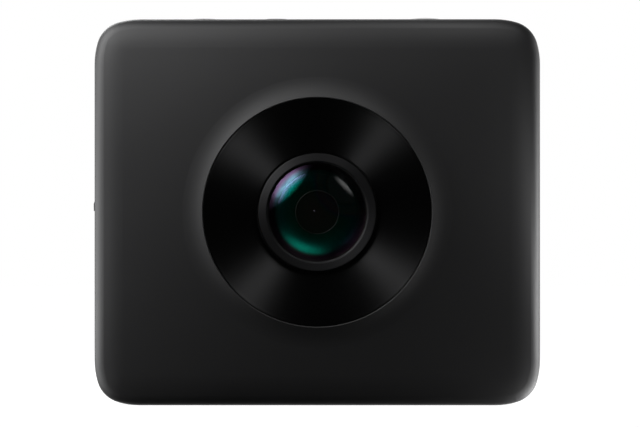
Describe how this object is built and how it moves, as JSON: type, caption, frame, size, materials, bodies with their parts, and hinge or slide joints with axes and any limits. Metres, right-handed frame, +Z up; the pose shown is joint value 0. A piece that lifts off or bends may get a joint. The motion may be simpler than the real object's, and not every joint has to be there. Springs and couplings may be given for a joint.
{
  "type": "360 degree camera",
  "caption": "Slim rounded-rectangular camera with back-to-back domed fisheye lenses in dished black rings, push buttons on top, hinged side door and tripod socket.",
  "frame": {"origin": "mouth of the tripod socket, in the middle of the flat underside", "axes": "+Z up, +X to the right of someone who faces the front lens, the front lens looks along -Y"},
  "size_m": [0.0782, 0.024, 0.068],
  "materials": {
    "casing": "fine matt black paint",
    "dish": "black, spun in fine rings",
    "lens_ring": "satin black",
    "outer_glass": "polished, coated",
    "inner_glass": "polished, coated",
    "barrel": "matt black",
    "rubber": "matt",
    "small_button": "fine matt black",
    "shutter_cap": "glossy black",
    "switch": "moulded",
    "steel": "plated",
    "socket_metal": "plated sheet",
    "tripod_metal": "turned",
    "board": "solder mask",
    "sensor": "ceramic package",
    "flex": "polyimide film",
    "cell": "foil pouch",
    "tape": "adhesive strip",
    "speaker": "moulded",
    "light": "clear moulding"
  },
  "bodies": {
    "housing": {"battery": "cell", "battery_lead": "flex", "battery_tape": "tape", "board_screws": "steel", "button_board": "board", "button_switches": "switch", "card_socket": "socket_metal", "door_hinge_pin": "steel", "front_dish": "dish", "front_dome": "outer_glass", "front_dome_seal": "rubber", "front_lens_barrel": "barrel", "front_lens_ring": "lens_ring", "front_prism": "inner_glass", "front_relay_lens": "inner_glass", "front_second_element": "inner_glass", "front_sensor": "sensor", "front_sensor_flex": "flex", "front_shell": "casing", "front_shell_gasket": "rubber", "front_shell_screws": "steel", "lens_carrier": "barrel", "lens_carrier_screws": "steel", "main_board": "board", "microphone": "socket_metal", "mid_frame": "casing", "processor_shield": "socket_metal", "rear_dish": "dish", "rear_dome": "outer_glass", "rear_dome_seal": "rubber", "rear_lens_barrel": "barrel", "rear_lens_ring": "lens_ring", "rear_prism": "inner_glass", "rear_relay_lens": "inner_glass", "rear_second_element": "inner_glass", "rear_sensor": "sensor", "rear_sensor_flex": "flex", "rear_shell": "casing", "rear_shell_gasket": "rubber", "rear_shell_screws": "steel", "speaker": "speaker", "status_light": "light", "tripod_screws": "steel", "tripod_socket": "tripod_metal", "usb_socket": "socket_metal", "wifi_antenna": "flex"},
    "shutter": {"shutter_button": "shutter_cap", "shutter_plunger": "switch"},
    "power": {"power_button": "small_button", "power_plunger": "switch"},
    "wifi": {"wifi_button": "small_button", "wifi_plunger": "switch"},
    "door": {"side_door": "casing", "door_gasket": "rubber"}
  },
  "joints": [
    {"name": "shutter_press", "type": "slide", "parent": "housing", "child": "shutter", "axis": [0, 0, -1], "range_m": [0, 0.0003], "stiffness_N_per_m": 2000, "springref_m": -0.0002},
    {"name": "power_press", "type": "slide", "parent": "housing", "child": "power", "axis": [0, 0, -1], "range_m": [0, 0.0002], "stiffness_N_per_m": 2000, "springref_m": -0.0002},
    {"name": "wifi_press", "type": "slide", "parent": "housing", "child": "wifi", "axis": [0, 0, -1], "range_m": [0, 0.0002], "stiffness_N_per_m": 2000, "springref_m": -0.0002},
    {"name": "door_hinge", "type": "hinge", "parent": "housing", "child": "door", "pos_m": [-0.03767, 0, 0.0605], "axis": [0, 1, 0], "range_deg": [0, 90]}
  ]
}
